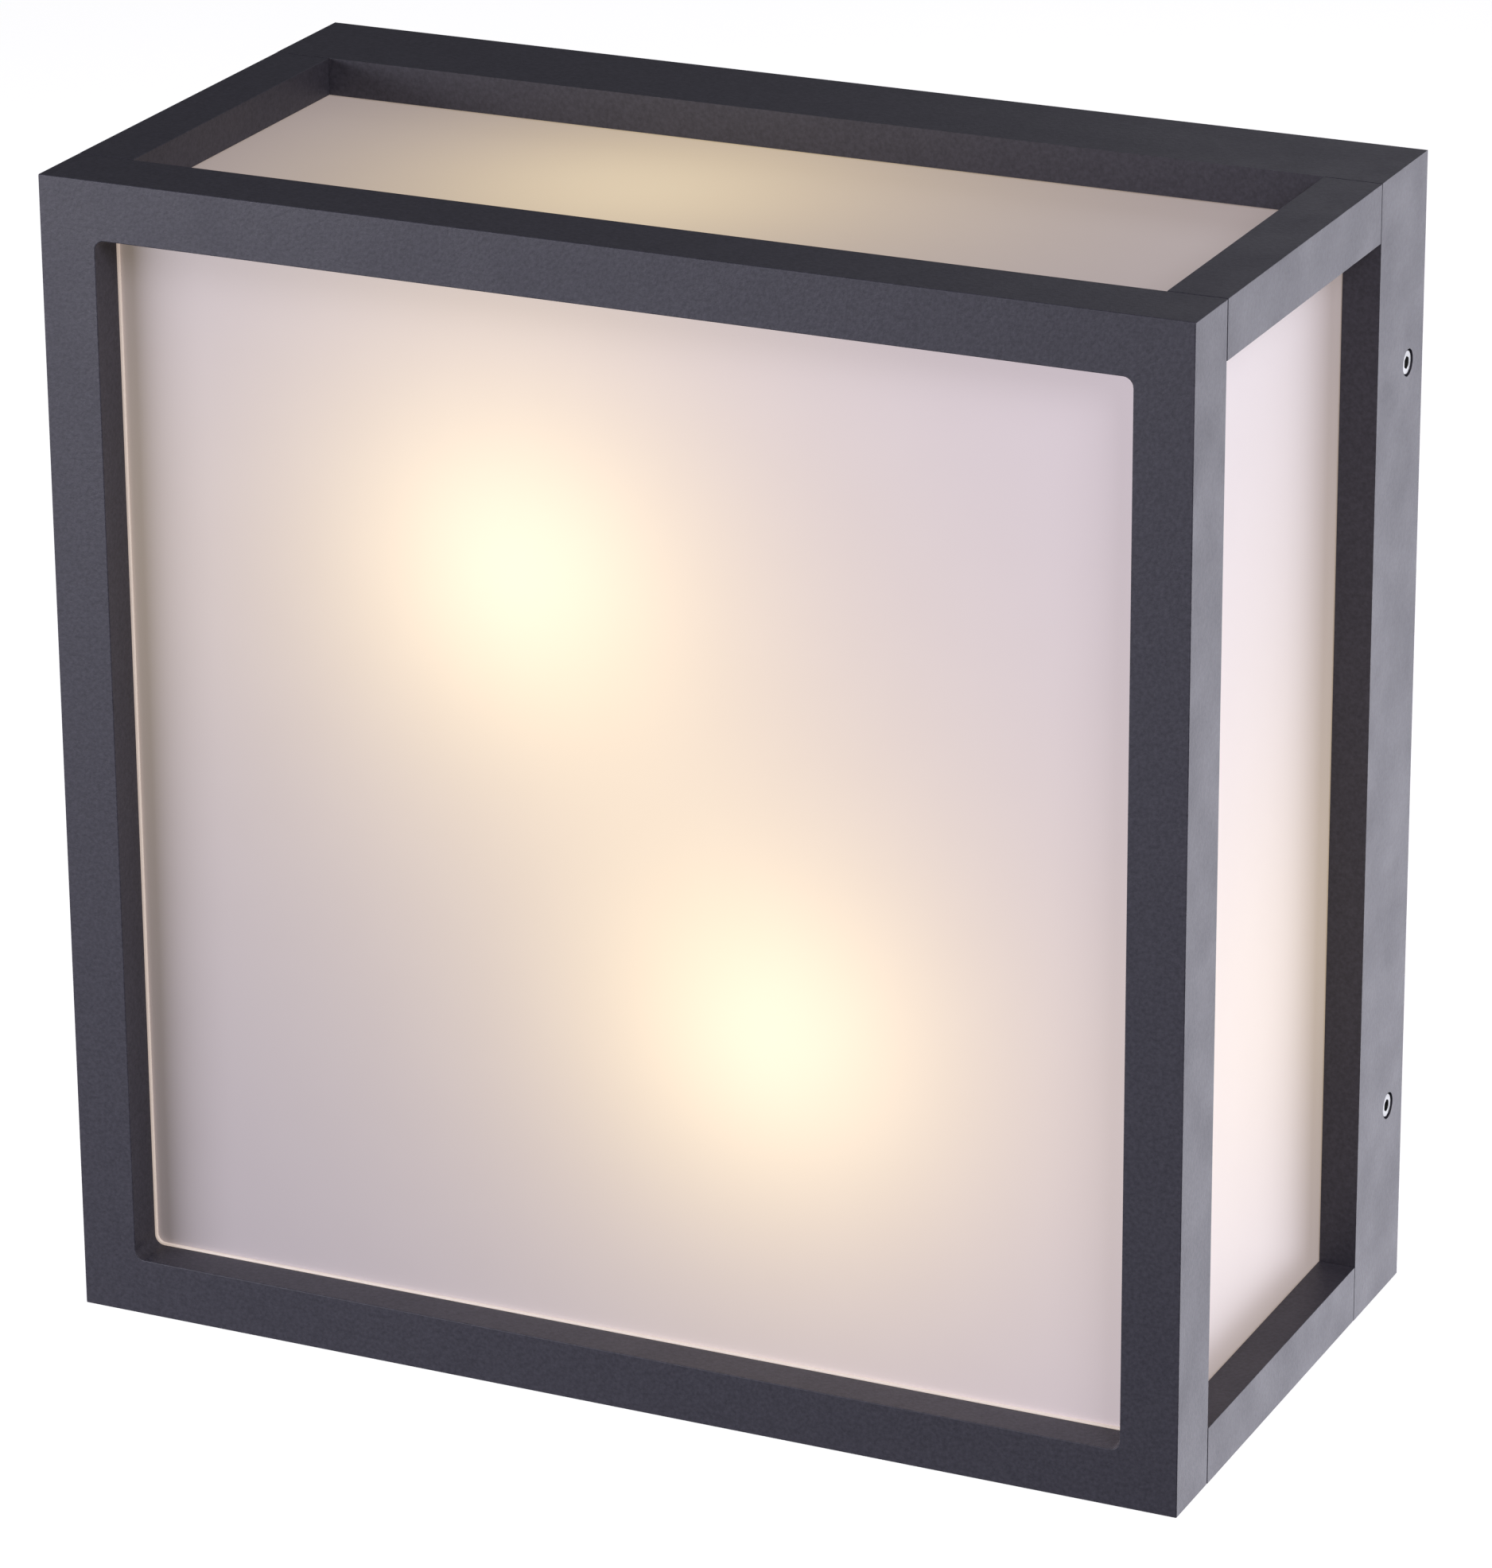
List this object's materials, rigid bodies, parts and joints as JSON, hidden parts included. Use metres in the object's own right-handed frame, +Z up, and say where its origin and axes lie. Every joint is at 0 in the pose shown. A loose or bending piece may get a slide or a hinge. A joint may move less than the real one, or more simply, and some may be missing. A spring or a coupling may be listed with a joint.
{
  "type": "outdoor wall lantern",
  "caption": "Square outdoor wall lantern: dark metal cage round a lit opal box, hung on a wall tray with screw-in lamps inside.",
  "frame": {"origin": "middle of the wall face, where the pad meets the wall", "axes": "+Z up, +Y into the wall, +X to the right seen from the room"},
  "size_m": [0.27, 0.138, 0.27],
  "materials": {
    "graphite_coat": "fine-textured powder coat, satin",
    "opal": "opal white, satin gloss",
    "silicone": "matt",
    "sealing": "matt, closed-cell or moulded",
    "stainless": "bright",
    "zinc": "zinc plated",
    "white_coat": "satin white",
    "porcelain": "glazed white porcelain",
    "nickel": "nickel plated",
    "brass": "bright",
    "globe": "milky, glows warm white",
    "lamp_white": "smooth",
    "brown_lead": "satin insulation",
    "blue_lead": "satin insulation",
    "earth_lead": "green and yellow insulation",
    "block_white": "satin"
  },
  "bodies": {
    "base": {"tray": "graphite_coat", "wall_pad": "sealing", "cable_grommet": "sealing", "earth_screw": "stainless", "earth_washer": "zinc", "bracket_screw_a1": "zinc", "bracket_screw_a2": "zinc", "bracket_screw_b1": "zinc", "bracket_screw_b2": "zinc", "bracket_a": "zinc", "holder_bolt_a": "zinc", "holder_body_a": "porcelain", "holder_shell_a": "nickel", "holder_contact_a": "brass", "neutral_lead_a": "blue_lead", "live_lead_a": "brown_lead", "bracket_b": "zinc", "holder_bolt_b": "zinc", "holder_body_b": "porcelain", "holder_shell_b": "nickel", "holder_contact_b": "brass", "neutral_lead_b": "blue_lead", "live_lead_b": "brown_lead", "reflector": "white_coat", "terminal_block": "block_white", "earth_lead": "earth_lead"},
    "cover": {"front_ring": "graphite_coat", "rear_ring": "graphite_coat", "diffuser": "opal", "diffuser_gasket": "silicone", "cover_seal": "sealing", "corner_post_upper_left": "graphite_coat", "corner_clamp_upper_left": "zinc", "tie_screw_upper_left": "stainless", "corner_post_upper_right": "graphite_coat", "corner_clamp_upper_right": "zinc", "tie_screw_upper_right": "stainless", "corner_post_lower_left": "graphite_coat", "corner_clamp_lower_left": "zinc", "tie_screw_lower_left": "stainless", "corner_post_lower_right": "graphite_coat", "corner_clamp_lower_right": "zinc", "tie_screw_lower_right": "stainless"},
    "side_oring_upper_left": {"side_oring_upper_left": "sealing"},
    "side_screw_upper_left": {"side_screw_upper_left": "stainless"},
    "side_oring_upper_right": {"side_oring_upper_right": "sealing"},
    "side_screw_upper_right": {"side_screw_upper_right": "stainless"},
    "side_oring_lower_left": {"side_oring_lower_left": "sealing"},
    "side_screw_lower_left": {"side_screw_lower_left": "stainless"},
    "side_oring_lower_right": {"side_oring_lower_right": "sealing"},
    "side_screw_lower_right": {"side_screw_lower_right": "stainless"},
    "lamp_a_travel": {"lamp_contact_a": "zinc"},
    "lamp_a": {"lamp_cap_a": "nickel", "lamp_collar_a": "lamp_white", "lamp_globe_a": "globe"},
    "lamp_b_travel": {"lamp_contact_b": "zinc"},
    "lamp_b": {"lamp_cap_b": "nickel", "lamp_collar_b": "lamp_white", "lamp_globe_b": "globe"}
  },
  "joints": [
    {"name": "cover_slide", "type": "slide", "parent": "base", "child": "cover", "axis": [0, -1, 0], "range_m": [0, 0.14]},
    {"name": "side_screw_upper_left_travel", "type": "slide", "parent": "cover", "child": "side_oring_upper_left", "axis": [-1, 0, 0], "range_m": [0, 0.003]},
    {"name": "side_screw_upper_left_turn", "type": "hinge", "parent": "side_oring_upper_left", "child": "side_screw_upper_left", "pos_m": [-0.131, -0.0093, 0.089], "axis": [-1, 0, 0], "range_deg": [0, 2160]},
    {"name": "side_screw_upper_right_travel", "type": "slide", "parent": "cover", "child": "side_oring_upper_right", "axis": [1, 0, 0], "range_m": [0, 0.003]},
    {"name": "side_screw_upper_right_turn", "type": "hinge", "parent": "side_oring_upper_right", "child": "side_screw_upper_right", "pos_m": [0.131, -0.0093, 0.089], "axis": [1, 0, 0], "range_deg": [0, 2160]},
    {"name": "side_screw_lower_left_travel", "type": "slide", "parent": "cover", "child": "side_oring_lower_left", "axis": [-1, 0, 0], "range_m": [0, 0.003]},
    {"name": "side_screw_lower_left_turn", "type": "hinge", "parent": "side_oring_lower_left", "child": "side_screw_lower_left", "pos_m": [-0.131, -0.0093, -0.089], "axis": [-1, 0, 0], "range_deg": [0, 2160]},
    {"name": "side_screw_lower_right_travel", "type": "slide", "parent": "cover", "child": "side_oring_lower_right", "axis": [1, 0, 0], "range_m": [0, 0.003]},
    {"name": "side_screw_lower_right_turn", "type": "hinge", "parent": "side_oring_lower_right", "child": "side_screw_lower_right", "pos_m": [0.131, -0.0093, -0.089], "axis": [1, 0, 0], "range_deg": [0, 2160]},
    {"name": "lamp_a_travel", "type": "slide", "parent": "base", "child": "lamp_a_travel", "axis": [0, 0, 1], "range_m": [0, 0.0236]},
    {"name": "lamp_a_turn", "type": "hinge", "parent": "lamp_a_travel", "child": "lamp_a", "pos_m": [-0.03, -0.074, 0], "axis": [0, 0, 1], "range_deg": [0, 2340]},
    {"name": "lamp_b_travel", "type": "slide", "parent": "base", "child": "lamp_b_travel", "axis": [0, 0, -1], "range_m": [0, 0.0236]},
    {"name": "lamp_b_turn", "type": "hinge", "parent": "lamp_b_travel", "child": "lamp_b", "pos_m": [0.03, -0.074, 0], "axis": [0, 0, -1], "range_deg": [0, 2340]}
  ],
  "couplings": [
    {"joint": "side_screw_upper_left_turn", "follows": "side_screw_upper_left_travel", "rad_per_m": 12566},
    {"joint": "side_screw_upper_right_turn", "follows": "side_screw_upper_right_travel", "rad_per_m": 12566},
    {"joint": "side_screw_lower_left_turn", "follows": "side_screw_lower_left_travel", "rad_per_m": 12566},
    {"joint": "side_screw_lower_right_turn", "follows": "side_screw_lower_right_travel", "rad_per_m": 12566},
    {"joint": "lamp_a_turn", "follows": "lamp_a_travel", "rad_per_m": 1731.4},
    {"joint": "lamp_b_turn", "follows": "lamp_b_travel", "rad_per_m": 1731.4}
  ]
}
